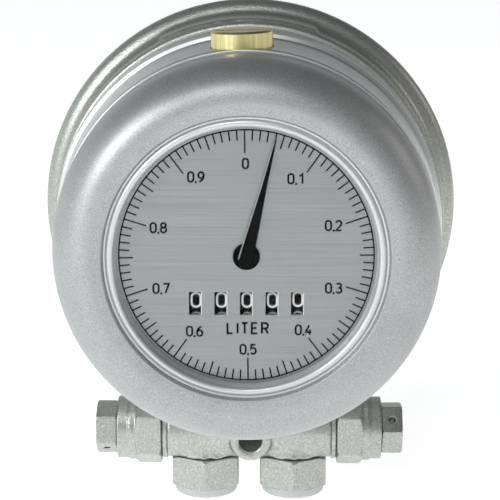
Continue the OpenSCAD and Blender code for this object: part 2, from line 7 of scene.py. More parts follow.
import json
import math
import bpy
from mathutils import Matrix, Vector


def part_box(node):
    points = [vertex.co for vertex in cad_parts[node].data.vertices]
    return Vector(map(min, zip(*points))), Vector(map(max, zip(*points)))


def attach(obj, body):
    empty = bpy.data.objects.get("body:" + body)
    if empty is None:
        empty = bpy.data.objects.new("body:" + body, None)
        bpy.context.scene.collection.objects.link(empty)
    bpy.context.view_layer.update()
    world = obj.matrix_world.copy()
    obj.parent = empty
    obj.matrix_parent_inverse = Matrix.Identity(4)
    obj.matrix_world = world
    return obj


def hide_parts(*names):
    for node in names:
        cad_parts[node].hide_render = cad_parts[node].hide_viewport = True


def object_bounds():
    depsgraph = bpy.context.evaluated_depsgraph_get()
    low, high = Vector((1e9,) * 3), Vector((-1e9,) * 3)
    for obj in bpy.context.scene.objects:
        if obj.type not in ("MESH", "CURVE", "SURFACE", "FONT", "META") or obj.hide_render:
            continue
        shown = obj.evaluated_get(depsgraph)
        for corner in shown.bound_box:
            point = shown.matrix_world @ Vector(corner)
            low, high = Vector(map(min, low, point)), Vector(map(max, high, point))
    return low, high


bl_info = {
    "name": "Dial Flow Meter",
    "version": (1, 0, 0),
    "blender": (4, 5, 0),
    "location": "View3D > Sidebar > Flow Meter",
    "description": "Finishes and printed details for a dial flow meter built round its CAD frame",
    "category": "Object",
}

import bmesh
import bpy
from bpy.props import FloatProperty, FloatVectorProperty, IntProperty, PointerProperty, StringProperty
from mathutils import Euler, Matrix, Vector

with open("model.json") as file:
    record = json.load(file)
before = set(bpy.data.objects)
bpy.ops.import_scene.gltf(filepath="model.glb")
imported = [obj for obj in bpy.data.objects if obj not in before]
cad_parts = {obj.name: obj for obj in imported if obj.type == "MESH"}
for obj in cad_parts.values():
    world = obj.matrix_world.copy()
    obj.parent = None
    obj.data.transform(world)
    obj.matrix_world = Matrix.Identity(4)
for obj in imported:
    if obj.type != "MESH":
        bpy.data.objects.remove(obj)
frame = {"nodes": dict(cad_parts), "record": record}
CAD_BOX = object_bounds()
NODES = frame["nodes"]
MM = 0.001
DIAL_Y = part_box("dial_plate")[0].y / MM  # the dial's face
LATHE_STEPS = 240  # segments round the bezel
NEARLY_STRAIGHT = math.radians(174)  # a corner this open isn't rounded
FLOOR_REACH = 8.0  # metres from the floor's middle to its sides


# ---- Colour and nodes ----


def linear(hex_colour):
    """An sRGB hex colour as linear RGBA."""
    parts = [int(hex_colour[i : i + 2], 16) / 255 for i in (1, 3, 5)]
    return (*[c / 12.92 if c <= 0.04045 else ((c + 0.055) / 1.055) ** 2.4 for c in parts], 1.0)


def add(tree, kind, inputs=None, stops=(), **settings):
    """Adds a node.

    Settings are its properties. Inputs map a socket to a value or to another node's socket. Stops are the
    positions and colours of a colour ramp, from low to high, as hex or as linear RGBA.
    """
    node = tree.nodes.new(kind)
    for name, value in settings.items():
        setattr(node, name, value)
    for name, value in (inputs or {}).items():
        socket = node.inputs[name]
        if isinstance(value, bpy.types.NodeSocket):
            tree.links.new(value, socket)
        else:
            socket.default_value = value
    for i, (position, colour) in enumerate(stops):
        elements = node.color_ramp.elements
        element = elements[i] if i < len(elements) else elements.new(position)
        element.position = position
        element.color = linear(colour) if isinstance(colour, str) else colour
    return node


def new_material(name):
    """An empty material and its node tree."""
    material = bpy.data.materials.new(name)
    material.use_nodes = True
    material.node_tree.nodes.clear()
    return material, material.node_tree


def place(tree, *sizes):
    """Object coordinates in units of these sizes, in millimetres, along X, Y and Z."""
    coords = add(tree, "ShaderNodeTexCoord").outputs["Object"]
    scale = [1 / (size * MM) for size in sizes]
    return add(tree, "ShaderNodeMapping", {"Vector": coords, "Scale": scale}).outputs["Vector"]


def coat(tree, inputs, height=None, strength=0.0, depth=0.0):
    """The shader and the output of a finish. A height gives it a bump, of a depth in millimetres."""
    if height is not None:
        relief = {"Height": height, "Strength": strength, "Distance": depth * MM}
        inputs = {**inputs, "Normal": add(tree, "ShaderNodeBump", relief).outputs["Normal"]}
    shader = add(tree, "ShaderNodeBsdfPrincipled", inputs)
    add(tree, "ShaderNodeOutputMaterial", {"Surface": shader.outputs["BSDF"]})


# ---- Materials ----


def hammer_paint(s):
    """Hammer-effect paint over cast metal: aluminium flake that dries in round cells with bright rims."""
    material, tree = new_material("hammer_effect_silver_paint")
    # the real flake is too fine to show, so it is drawn about five times as coarse
    cell, flake = 0.5, 0.22
    cells = add(tree, "ShaderNodeTexNoise", {"Vector": place(tree, cell, cell, cell), "Scale": 1.0})
    flakes = add(tree, "ShaderNodeTexNoise", {"Vector": place(tree, flake, flake, flake), "Scale": 1.0})
    both = {"Factor": 0.4, "A": cells.outputs["Fac"], "B": flakes.outputs["Fac"]}
    grain = add(tree, "ShaderNodeMix", both, data_type="FLOAT").outputs["Result"]
    greys = [(0.34, s.paint_dark), (0.5, s.paint_middle), (0.66, s.paint_light)]
    colour = add(tree, "ShaderNodeValToRGB", {"Fac": grain}, greys)
    # high spots of the grain are glossier than the hollows
    gloss = {"Value": grain, "From Min": 0.35, "From Max": 0.65, "To Min": 0.38, "To Max": 0.26}
    rough = add(tree, "ShaderNodeMapRange", gloss)
    inputs = {"Base Color": colour.outputs["Color"], "Metallic": 0.8, "Roughness": rough.outputs["Result"]}
    coat(tree, inputs, grain, 0.8, 0.12)
    return material


def silver_lacquer(s):
    """Satin silver lacquer sprayed on pressed sheet: fine aluminium flake under a soft gloss."""
    material, tree = new_material("satin_silver_lacquer")
    # the real flake is too fine to show, so it is drawn about five times as coarse
    flake, cloud = 0.22, 9
    flakes = add(tree, "ShaderNodeTexNoise", {"Vector": place(tree, flake, flake, flake), "Scale": 1.0})
    clouds = add(tree, "ShaderNodeTexNoise", {"Vector": place(tree, cloud, cloud, cloud), "Scale": 1.0})
    both = {"Factor": 0.12, "A": flakes.outputs["Fac"], "B": clouds.outputs["Fac"]}
    grain = add(tree, "ShaderNodeMix", both, data_type="FLOAT").outputs["Result"]
    greys = [(0.36, s.lacquer_dark), (0.64, s.lacquer_light)]
    colour = add(tree, "ShaderNodeValToRGB", {"Fac": grain}, greys)
    inputs = {"Base Color": colour.outputs["Color"], "Metallic": 0.7, "Roughness": 0.42}
    coat(tree, inputs, flakes.outputs["Fac"], 0.16, 0.08)
    return material


def grooved_metal(name, dark, light, groove, strength, roughness, brushed=False):
    """Bare metal with tool marks a groove apart. Turned marks run round Y, and brushed ones along X."""
    material, tree = new_material(name)
    # how far the marks stay the same along X, Y and Z, in millimetres
    sizes = (30, 400, groove) if brushed else (250, groove, 250)
    noise = {"Vector": place(tree, *sizes), "Scale": 1.0, "Detail": 5.0}
    marks = add(tree, "ShaderNodeTexNoise", noise).outputs["Fac"]
    colour = add(tree, "ShaderNodeValToRGB", {"Fac": marks}, [(0.3, dark), (0.7, light)])
    swing = 0.06  # how far the roughness goes either way
    gloss = {"From Min": 0.3, "From Max": 0.7, "To Min": roughness + swing, "To Max": roughness - swing}
    rough = add(tree, "ShaderNodeMapRange", {"Value": marks, **gloss})
    inputs = {"Base Color": colour.outputs["Color"], "Metallic": 1.0, "Roughness": rough.outputs["Result"]}
    coat(tree, inputs, marks, strength, 0.05)
    return material


def plain_finish(name, dark, light, grain, roughness, metallic=0.0, shine=0.5):
    """Moulded, printed or sintered surfaces: a slight mottle and a fine grain."""
    material, tree = new_material(name)
    noise = {"Vector": place(tree, grain, grain, grain), "Scale": 1.0, "Detail": 3.0}
    mottle = add(tree, "ShaderNodeTexNoise", noise).outputs["Fac"]
    colour = add(tree, "ShaderNodeValToRGB", {"Fac": mottle}, [(0.35, dark), (0.65, light)])
    inputs = {"Metallic": metallic, "Roughness": roughness, "Specular IOR Level": shine}
    coat(tree, {"Base Color": colour.outputs["Color"], **inputs}, mottle, 0.1, 0.05)
    return material


def window_glass():
    """Clear float glass: nearly invisible but for a weak reflection."""
    material, tree = new_material("clear_float_glass")
    clear = {"IOR": 1.5, "Transmission Weight": 1.0, "Alpha": 0.06}
    coat(tree, {"Base Color": linear("#f4f8f7"), "Roughness": 0.02, **clear})
    return material


def make_materials(s):
    """One material for each finish on the meter, by the name of its slot."""
    return {
        "silver_lacquer": silver_lacquer(s),
        "hammer_paint": hammer_paint(s),
        # turned on a lathe: rings that streak the light; real ones are too fine to show, these are 0.9 mm
        "turned_aluminium": grooved_metal("turned_aluminium", "#b0b3b2", "#f2f3f2", 0.9, 0.35, 0.36),
        # brushed sheet: hair lines along the dial and a soft sheen
        "dial_aluminium": grooved_metal(
            "brushed_aluminium", s.dial_dark, s.dial_light, 0.2, 0.06, 0.4, brushed=True
        ),
        # faced on a lathe and left bare: pale, clean and evenly satin
        "faced_aluminium": plain_finish("faced_aluminium", "#b6b8b7", "#c4c6c5", 0.3, 0.42, 0.9),
        # pale yellow metal with streaks from the lathe
        "brass": grooved_metal("turned_brass", s.brass_dark, s.brass_light, 0.3, 0.25, 0.34),
        # ground bare: a cool grey with hair lines
        "steel": grooved_metal("ground_steel", "#8d9092", "#b9bcbe", 0.15, 0.2, 0.35),
        # pressed from powder and fired: dull charcoal grey
        "magnet": plain_finish("sintered_ferrite", "#1c1c1e", "#2b2b2e", 0.2, 0.6, 0.3),
        # moulded ABS drums: deep black with next to no shine
        "black_plastic": plain_finish("moulded_black_abs", "#040404", "#080808", 0.25, 0.5, shine=0.12),
        # moulded acetal gears: milky white, slightly waxy
        "acetal": plain_finish("moulded_acetal", "#dedbd0", "#efece3", 0.3, 0.4),
        # baked enamel on the pointer: flat black
        "pointer_black": plain_finish("black_enamel", "#010101", "#030303", 0.4, 0.5, shine=0.05),
        # moulded nitrile rubber seals: dull near-black
        "rubber": plain_finish("nitrile_rubber", "#151515", "#232323", 0.2, 0.75),
        "window_glass": window_glass(),
        # screen-printed inks: matt, and even right to the edge of a stroke
        "print_black": plain_finish("black_printing_ink", "#030303", "#070707", 0.2, 0.6, shine=0.1),
        "print_white": plain_finish("white_printing_ink", "#f8f8f6", "#ffffff", 0.2, 0.5),
        # sheet drawn bare by a punch: a bright satin line; on the bezel's lip and rear bead its paleness is
        # partly a painted highlight
        "bright_edge": plain_finish("bare_aluminium_edge_and_highlight", "#c8cbcb", "#d8dbdb", 0.2, 0.3, 0.6),
    }


# ---- Mesh helpers ----


def new_piece(name, body, slot, bm, smooth_angle):
    """Turns a bmesh in metres into a piece that rides on a CAD body and takes its finish from a slot.

    Smooth shading stops at edges sharper than the angle in degrees.
    """
    mesh = bpy.data.meshes.new(name)
    bmesh.ops.recalc_face_normals(bm, faces=bm.faces)
    bm.to_mesh(mesh)
    bm.free()
    piece = bpy.data.objects.new(name, mesh)
    bpy.context.scene.collection.objects.link(piece)
    mesh.shade_smooth()
    mesh.set_sharp_from_angle(angle=math.radians(smooth_angle))
    mesh.materials.append(MATERIALS[slot])
    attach(piece, body)
    return piece


def rounded(outline, radius, steps):
    """A closed outline with each corner rounded to a radius, or less where its sides are short."""
    points = [Vector(p) for p in outline]
    out = []
    for i, corner in enumerate(points):
        before, after = points[i - 1], points[(i + 1) % len(points)]
        a, b = before - corner, after - corner
        turn = a.angle(b, math.pi)
        if turn > NEARLY_STRAIGHT:
            out.append(corner)
            continue
        reach = min(radius / math.tan(turn / 2), a.length * 0.45, b.length * 0.45)
        start, end = corner + a.normalized() * reach, corner + b.normalized() * reach
        for k in range(steps + 1):
            t = k / steps
            out.append(start * (1 - t) ** 2 + corner * 2 * t * (1 - t) + end * t * t)
    return out


def ellipse(centre, rx, ry, first, last, steps):
    """Points of an elliptical arc between two angles in degrees."""
    angles = [math.radians(first + (last - first) * i / steps) for i in range(steps + 1)]
    return [(centre[0] + rx * math.cos(a), centre[1] + ry * math.sin(a)) for a in angles]


def skin(bm, rings, closed):
    """Faces between each ring of corners and the next, and from the last to the first if closed."""
    for a, b in zip(rings, rings[1:] + rings[:1] if closed else rings[1:]):
        for i in range(len(a)):
            j = (i + 1) % len(a)
            bm.faces.new((a[i], a[j], b[j], b[i]))


def loft(sections):
    """Closed sections skinned one after another and capped at both ends, as a bmesh."""
    bm = bmesh.new()
    rings = [[bm.verts.new(corner) for corner in section] for section in sections]
    skin(bm, rings, False)
    bm.faces.new(rings[0])
    bm.faces.new(rings[-1])
    return bm


def lathe(outline, steps):
    """A closed outline of (radius, depth) turned about the head's axis, as a bmesh."""
    bm = bmesh.new()
    rings = []
    for radius, depth in outline:
        y = (DIAL_Y + depth) * MM
        ring = []
        for i in range(steps):
            a = 2 * math.pi * i / steps
            ring.append(bm.verts.new((radius * MM * math.cos(a), y, radius * MM * math.sin(a))))
        rings.append(ring)
    skin(bm, rings, True)
    return bm


def paint(node, slot):
    """Gives a CAD node the finish of a slot."""
    mesh = NODES[node].data
    mesh.materials.clear()
    mesh.materials.append(MATERIALS[slot])


def soften(node, width):
    """Breaks a CAD node's sharp edges with a small bevel, of a width in millimetres."""
    bevel = NODES[node].modifiers.new("broken_edges", "BEVEL")
    bevel.width = width * MM
    bevel.segments = 2
    bevel.limit_method = "ANGLE"
    bevel.angle_limit = math.radians(30)
    bevel.harden_normals = False


def painted_copy(name, node, body, voxel, passes):
    """A copy of a CAD node as one closed skin with soft edges, as thick paint over a casting leaves them."""
    bm = bmesh.new()
    bm.from_mesh(NODES[node].data)
    mesh = bpy.data.meshes.new(name)
    bm.to_mesh(mesh)
    bm.free()
    piece = bpy.data.objects.new(name, mesh)
    bpy.context.scene.collection.objects.link(piece)
    melt(piece, voxel, passes)
    piece.data.materials.clear()
    piece.data.materials.append(MATERIALS["hammer_paint"])
    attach(piece, body)
    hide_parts(node)


def melt(piece, voxel, passes):
    """Remeshes a piece with voxels of a size in millimetres and smooths it, which rounds its edges."""
    remesh = piece.modifiers.new("skin", "REMESH")
    remesh.mode = "VOXEL"
    remesh.voxel_size = voxel * MM
    smooth = piece.modifiers.new("paint", "SMOOTH")
    smooth.factor = 0.5
    smooth.iterations = passes
    depsgraph = bpy.context.evaluated_depsgraph_get()
    melted = bpy.data.meshes.new_from_object(piece.evaluated_get(depsgraph))
    piece.modifiers.clear()
    piece.data = melted
    melted.shade_smooth()


# ---- Stroke lettering ----

GLYPH_W = 0.56  # width of most characters, against a height of 1
ARC_STEPS = 10
INK = 0.02  # thickness of the print, in millimetres
CLEAR = 0.005  # gap between the print and the surface under it, in millimetres


def glyph(character):
    """The strokes of a narrow upright sans-serif character, one unit tall, as (points, closed) pairs."""
    w = GLYPH_W
    r = w / 2
    high, low = (r, 1 - r), (r, r)
    shapes = {
        "0": [(ellipse(high, r, r, 0, 180, ARC_STEPS) + ellipse(low, r, r, 180, 360, ARC_STEPS), True)],
        "1": [([(0.1, 0.74), (0.72 * w, 1), (0.72 * w, 0)], False)],
        "2": [(ellipse(high, r, r, 168, -28, ARC_STEPS) + [(0.02, 0), (w, 0)], False)],
        "3": [
            (
                ellipse((r, 0.76), 0.9 * r, 0.24, 150, -90, ARC_STEPS)
                + ellipse((r, 0.27), r, 0.27, 80, -150, ARC_STEPS),
                False,
            )
        ],
        "4": [([(0.62 * w, 1), (0, 0.27), (w, 0.27)], False), ([(0.74 * w, 0.52), (0.74 * w, 0)], False)],
        "5": [
            (
                [(0.92 * w, 1), (0.08, 1), (0.05, 0.55)]
                + ellipse((r, 0.33), r, 0.33, 125, -150, ARC_STEPS),
                False,
            )
        ],
        "6": [
            (ellipse((r, 0.31), r, 0.31, 0, 360, 2 * ARC_STEPS)[:-1], True),
            (ellipse((1.2 * w, 0.31), 1.2 * w, 0.72, 180, 108, ARC_STEPS), False),
        ],
        "7": [([(0, 1), (w, 1), (0.35 * w, 0)], False)],
        "8": [
            (ellipse((r, 0.76), 0.86 * r, 0.24, 0, 360, 2 * ARC_STEPS)[:-1], True),
            (ellipse((r, 0.27), r, 0.27, 0, 360, 2 * ARC_STEPS)[:-1], True),
        ],
        ",": [([(0.1, 0.08), (0.02, -0.14)], False)],
        "L": [([(0, 1), (0, 0), (0.86 * w, 0)], False)],
        "I": [([(0, 1), (0, 0)], False)],
        "T": [([(0, 1), (w, 1)], False), ([(r, 1), (r, 0)], False)],
        "E": [([(0.9 * w, 1), (0, 1), (0, 0), (0.9 * w, 0)], False), ([(0, 0.52), (0.8 * w, 0.52)], False)],
        "R": [
            (
                [(0, 0), (0, 1)]
                + ellipse((0.62 * w, 0.74), 0.38 * w, 0.26, 90, -90, ARC_STEPS)
                + [(0, 0.48)],
                False,
            ),
            ([(0.58 * w, 0.48), (w, 0)], False),
        ],
    }
    if character == "9":
        return [([(w - x, 1 - y) for x, y in points], closed) for points, closed in shapes["6"]]
    return shapes[character]


def glyph_width(character):
    """The width of a character one unit tall."""
    return {"I": 0.0, ",": 0.12}.get(character, GLYPH_W)


def text_strokes(text, centre, height, gap, wide=1.0):
    """The strokes of a line of text about a centre, as (points, closed) pairs in millimetres.

    Gap is the space between characters, and wide widens each of them.
    """
    widths = [glyph_width(c) * height * wide for c in text]
    x = centre[0] - (sum(widths) + gap * (len(text) - 1)) / 2
    out = []
    for character, width in zip(text, widths):
        for points, closed in glyph(character):
            line = [(x + u * height * wide, centre[1] + (v - 0.5) * height) for u, v in points]
            out.append((line, closed))
        x += width + gap
    return out


def finer(points, closed, step=0.3):
    """The same line with no piece longer than a step, so that it can follow a curved surface."""
    out = []
    for (x0, y0), (x1, y1) in zip(points, points[1:] + points[:1] if closed else points[1:]):
        count = max(1, math.ceil(math.dist((x0, y0), (x1, y1)) / step))
        out += [(x0 + (x1 - x0) * k / count, y0 + (y1 - y0) * k / count) for k in range(count)]
    return out if closed else out + [points[-1]]


def ribbon(bm, points, closed, width, to_surface):
    """A printed stroke of a width along points, as thick as the ink, on the surface that to_surface gives."""
    count = len(points)
    vectors = [Vector(p) for p in points]
    sides = []
    for i, p in enumerate(vectors):
        before = vectors[i - 1] if i > 0 or closed else None
        after = vectors[(i + 1) % count] if i < count - 1 or closed else None
        d0 = (p - before).normalized() if before is not None else None
        d1 = (after - p).normalized() if after is not None else None
        d0, d1 = d0 or d1, d1 or d0
        across = Vector((-(d0 + d1).y, (d0 + d1).x)).normalized()
        reach = width / 2 / max(0.5, across.dot(Vector((-d0.y, d0.x))))
        sides.append((p + across * reach, p - across * reach))
    rows = []
    for left, right in sides:
        rows.append([bm.verts.new(to_surface(*q, h)) for q in (left, right) for h in (0, INK)])
    for i in range(count if closed else count - 1):
        a, b = rows[i], rows[(i + 1) % count]
        for p, q in ((0, 1), (1, 3), (3, 2), (2, 0)):
            bm.faces.new((a[p], a[q], b[q], b[p]))
    if not closed:
        for row in (rows[0], rows[-1]):
            bm.faces.new((row[0], row[1], row[3], row[2]))


def on_dial(u, v, h):
    """A point on the dial, from millimetres right and up, raised by h."""
    return (u * MM, (DIAL_Y - CLEAR - h) * MM, v * MM)


# ---- Settings ----

# middles of the dial's numbers from 0 to 0,9, in millimetres right and up
NUMBER_PLACES = [
    (-0.2, 21.4),
    (11.25, 17.95),
    (19.8, 7.2),
    (19.95, -7.35),
    (13.1, -17.2),
    (0.4, -21.85),
    (-11.9, -17.6),
    (-19.5, -7.55),
    (-20, 6.6),
    (-11.4, 18.3),
]
UNIT_PLACE = (0.3, -16.85)
NUMBER_GAP, UNIT_GAP = 0.42, 0.95  # between characters
DRUM_DIGIT_RIGHT, DRUM_DIGIT_WIDEN = 0.12, 1.15  # off the middle of a slot, and against the dial's digits
SLOT_WIDTH, SLOT_HEIGHT, SLOT_FROM_DRUM = 3.0, 5.6, 2.1  # the last from the drum's left face to its middle
POINTER_TURN = math.radians(13.8)  # clockwise from the dial's 0
POINTER_BASE, POINTER_TOP = 0.45, 1.1  # heights of the blade's underside and top over the dial
# the blade's stations: distance from the axis and half width, in millimetres
POINTER_STATIONS = [
    (-2.5, 0.7),
    (-2.25, 1.15),
    (-1.7, 1.5),
    (-0.8, 1.7),
    (0, 1.7),
    (17, 0.68),
    (24, 0.4),
    (28.4, 0.14),
]
# voxel sizes of the painted copies, in millimetres: coarser ones round the edges more
CASTING_PAINT, HOUSING_PAINT, NUT_PAINT = 0.55, 0.22, 0.2


def length(name, description, millimetres):
    """A property that holds a length."""
    return FloatProperty(name=name, description=description, default=millimetres * MM, unit="LENGTH")


def tint(name, description, hex_colour):
    """A property that holds a colour."""
    start = linear(hex_colour)
    return FloatVectorProperty(name=name, description=description, subtype="COLOR", size=4, default=start)


class FinishSettings(bpy.types.PropertyGroup):
    """Colours of the finishes that show most."""

    paint_dark: tint("Paint, dark", "Hollows of the hammer-effect paint", "#9da09b")
    paint_middle: tint("Paint, middle", "Body of the hammer-effect paint", "#b0b3ad")
    paint_light: tint("Paint, light", "Rims of the hammer-effect paint", "#c8cac5")
    lacquer_dark: tint("Lacquer, dark", "Dark flakes of the bezel's lacquer", "#989a9a")
    lacquer_light: tint("Lacquer, light", "Light flakes of the bezel's lacquer", "#bfc1c1")
    dial_dark: tint("Dial, dark", "Dark hair lines of the brushed dial", "#929696")
    dial_light: tint("Dial, light", "Light hair lines of the brushed dial", "#a0a4a4")
    brass_dark: tint("Brass, dark", "Dark streaks of the lock screw", "#c0b67a")
    brass_light: tint("Brass, light", "Light streaks of the lock screw", "#eee4ac")


class DialSettings(bpy.types.PropertyGroup):
    """The printed dial."""

    scale_radius: length("Scale radius", "Radius of the printed circle", 29.1)
    short_tick: length("Short tick", "Length of a hundredth's tick", 2.4)
    medium_tick: length("Medium tick", "Length of every fifth tick", 3.25)
    long_tick: length("Long tick", "Length of every tenth tick", 5.3)
    tick_width: length("Tick width", "Width of the printed lines", 0.34)
    number_height: length("Number height", "Height of the numbers", 2.2)
    unit_height: length("Unit height", "Height of the unit", 2.45)
    stroke: length("Stroke", "Stroke width of the numbers", 0.44)
    unit_stroke: length("Unit stroke", "Stroke width of the unit", 0.484)
    print_turn: FloatProperty(
        name="Print turn",
        description="How far the scale sits turned on the dial",
        default=math.radians(0.8),
        subtype="ANGLE",
    )
    unit_word: StringProperty(name="Unit", description="Unit printed under the drums", default="LITER")


class DrumSettings(bpy.types.PropertyGroup):
    """The printed digits on the counter's drums."""

    digit_height: length("Digit height", "Height of a digit between its strokes' middles", 3.2)
    stroke: length("Stroke", "Stroke width of a digit", 0.47)
    rest_lift: length("Rest lift", "How far the digits stand above the drum's axis", 0.45)
    last_lift: length("Last drum's lift", "How much further the fastest drum has turned", 0.25)


class BezelSettings(bpy.types.PropertyGroup):
    """The pressed bezel."""

    lip_rounding: length("Lip rounding", "Radius on the lip's edges", 0.12)
    sheet: length("Sheet", "Thickness of the bezel's side and dome", 1.8)
    steps: IntProperty(name="Steps", description="Segments round the bezel", default=LATHE_STEPS, min=48)


class StageSettings(bpy.types.PropertyGroup):
    """Floor, lights and camera."""

    floor_colour: tint("Floor", "Floor colour", "#f4f4f4")
    lens: FloatProperty(name="Lens", description="Focal length in millimetres", default=133.2, min=20)
    pitch: FloatProperty(
        name="Pitch",
        description="How far the camera looks down",
        default=math.radians(11.63),
        subtype="ANGLE",
    )
    yaw: FloatProperty(
        name="Yaw",
        description="How far the camera looks to the left",
        default=math.radians(0.787),
        subtype="ANGLE",
    )
    world_strength: FloatProperty(
        name="World", description="Strength of the surrounding light", default=0.75, min=0
    )


# each settings group, by its name on the scene
SETTINGS = {
    "flow_meter_finish": FinishSettings,
    "flow_meter_dial": DialSettings,
    "flow_meter_drums": DrumSettings,
    "flow_meter_bezel": BezelSettings,
    "flow_meter_stage": StageSettings,
}
MATERIALS = {}  # filled by the materials operator


# ---- Operators ----


class FLOWMETER_OT_materials(bpy.types.Operator):
    """Make the finishes and give every CAD part its own"""

    bl_idname = "flowmeter.materials"
    bl_label = "Materials"

    def execute(self, context):
        MATERIALS.update(make_materials(context.scene.flow_meter_finish))
        for part in frame["record"]["subparts"]:
            paint(part["node"], part["material_slot"])
        # the collars are left bare, and the washers were painted with the housings
        paint("thrust_collars", "faced_aluminium")
        paint("housing_washers", "hammer_paint")
        return {"FINISHED"}


class FLOWMETER_OT_dial(bpy.types.Operator):
    """Print the dial's scale, numbers and unit, and bevel the edges of the counter's slots"""

    bl_idname = "flowmeter.dial"
    bl_label = "Dial"

    def execute(self, context):
        s = context.scene.flow_meter_dial
        bm = bmesh.new()
        radius, width = s.scale_radius / MM, s.tick_width / MM
        turn_cos, turn_sin = math.cos(s.print_turn), math.sin(s.print_turn)

        def turned(u, v, h):
            return on_dial(u * turn_cos - v * turn_sin, u * turn_sin + v * turn_cos, h)

        ribbon(bm, ellipse((0, 0), radius, radius, 0, 360, 180)[:-1], True, width, turned)
        for i in range(100):
            tick = s.long_tick if i % 10 == 0 else s.medium_tick if i % 5 == 0 else s.short_tick
            a = 2 * math.pi * i / 100
            way = Vector((math.sin(a), math.cos(a)))
            ribbon(bm, [way * (radius - width / 2), way * (radius - tick / MM)], False, width, turned)
        for n, at in enumerate(NUMBER_PLACES):
            number = "0" if n == 0 else f"0,{n}"
            for points, closed in text_strokes(number, at, s.number_height / MM, NUMBER_GAP):
                ribbon(bm, points, closed, s.stroke / MM, on_dial)
        for points, closed in text_strokes(s.unit_word, UNIT_PLACE, s.unit_height / MM, UNIT_GAP):
            ribbon(bm, points, closed, s.unit_stroke / MM, on_dial)
        new_piece("dial_print", "head", "print_black", bm, 60)
        slot_edges()
        return {"FINISHED"}


def slot_centres():
    """The middle of each slot in the dial from left to right, in millimetres, from the drums behind them."""
    centres = []
    for name in sorted((n for n in NODES if n.startswith("number_drum_")), reverse=True):
        low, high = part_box(name)
        centres.append((low.x / MM + SLOT_FROM_DRUM, (low.z + high.z) / 2 / MM))
    return centres


def slot_edges():
    """Bright bevels inside the slots, where the punch has drawn the metal in."""
    bm = bmesh.new()
    left, right, bottom, top = 0.06, 0.2, 0.08, 0.16  # widths of the bevels
    half_x, half_z = SLOT_WIDTH / 2, SLOT_HEIGHT / 2
    for cx, cz in slot_centres():
        loops = []
        # each loop's share of the bevels' widths, and its height over the dial
        for share, h in ((0, 0.01), (1, -0.1), (1, -0.5), (0, -0.5)):
            x0, x1 = cx - half_x + share * left, cx + half_x - share * right
            z0, z1 = cz - half_z + share * bottom, cz + half_z - share * top
            corners = ((x0, z0), (x1, z0), (x1, z1), (x0, z1))
            loops.append([bm.verts.new(on_dial(u, v, h)) for u, v in corners])
        skin(bm, loops, True)
    new_piece("slot_edges", "head", "bright_edge", bm, 20)


class FLOWMETER_OT_drums(bpy.types.Operator):
    """Print the digits on the counter's drums"""

    bl_idname = "flowmeter.drums"
    bl_label = "Drum digits"

    def execute(self, context):
        s = context.scene.flow_meter_drums
        centres = slot_centres()
        for k, (cx, _) in enumerate(centres):
            number = len(centres) - k
            low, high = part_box(f"number_drum_{number}")
            centre_y, centre_z = (low.y + high.y) / 2, (low.z + high.z) / 2
            radius = (high.z - low.z) / 2
            lift = s.rest_lift + (s.last_lift if number == 1 else 0)

            def on_drum(u, v, h):
                a = (lift + v * MM) / radius
                r = radius + (h + CLEAR) * MM
                return ((cx + u) * MM, centre_y - r * math.cos(a), centre_z + r * math.sin(a))

            bm = bmesh.new()
            pitch = 2 * math.pi / 10 * radius / MM
            for n in range(10):
                at, height = (DRUM_DIGIT_RIGHT, n * pitch), s.digit_height / MM
                for points, closed in text_strokes(str(n), at, height, 0, DRUM_DIGIT_WIDEN):
                    ribbon(bm, finer(points, closed), closed, s.stroke / MM, on_drum)
            new_piece(f"drum_digits_{number}", f"number_drum_{number}", "print_white", bm, 60)
        return {"FINISHED"}


class FLOWMETER_OT_pointer(bpy.types.Operator):
    """Fold the pointer's blade, round its disc, and lay a painted highlight of bare steel along the blade's
    left edge
    """

    bl_idname = "flowmeter.pointer"
    bl_label = "Pointer"

    def execute(self, context):
        soften("pointer_disc", 0.08)
        sections = []
        for along, half in POINTER_STATIONS:
            fold = min(0.3, half * 0.5)
            ridge = [(-half + fold, POINTER_TOP), (half - fold * 0.4, POINTER_TOP)]
            section = [(-half, POINTER_BASE), *ridge, (half, POINTER_BASE)]
            sections.append([on_blade(across, along, height) for across, height in section])
        blade = new_piece("pointer_blade", "pointer", "pointer_black", loft(sections), 25)
        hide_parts("pointer")
        # a strip of pale steel along the blade's left edge: painted highlight
        pointer_edge()
        return {"FINISHED"}


def on_blade(across, along, height):
    """A point from millimetres across and along the pointer's blade and over the dial."""
    x = across * math.cos(POINTER_TURN) + along * math.sin(POINTER_TURN)
    z = -across * math.sin(POINTER_TURN) + along * math.cos(POINTER_TURN)
    return (x * MM, (DIAL_Y - height) * MM, z * MM)


def pointer_edge():
    """The blade's left edge: a thin strip of bare steel, a painted highlight for the light that the edge
    catches.
    """
    low, under, over = POINTER_TOP - 0.25, POINTER_TOP - 0.02, POINTER_TOP + 0.02
    sections = []
    for along, half in POINTER_STATIONS[3:]:
        left, right = -half, -half + min(0.2, half * 0.4)
        section = [(left, low), (left, under), (right, over), (right, low)]
        sections.append([on_blade(across, along, height) for across, height in section])
    new_piece("pointer_edge", "pointer", "steel", loft(sections), 25)


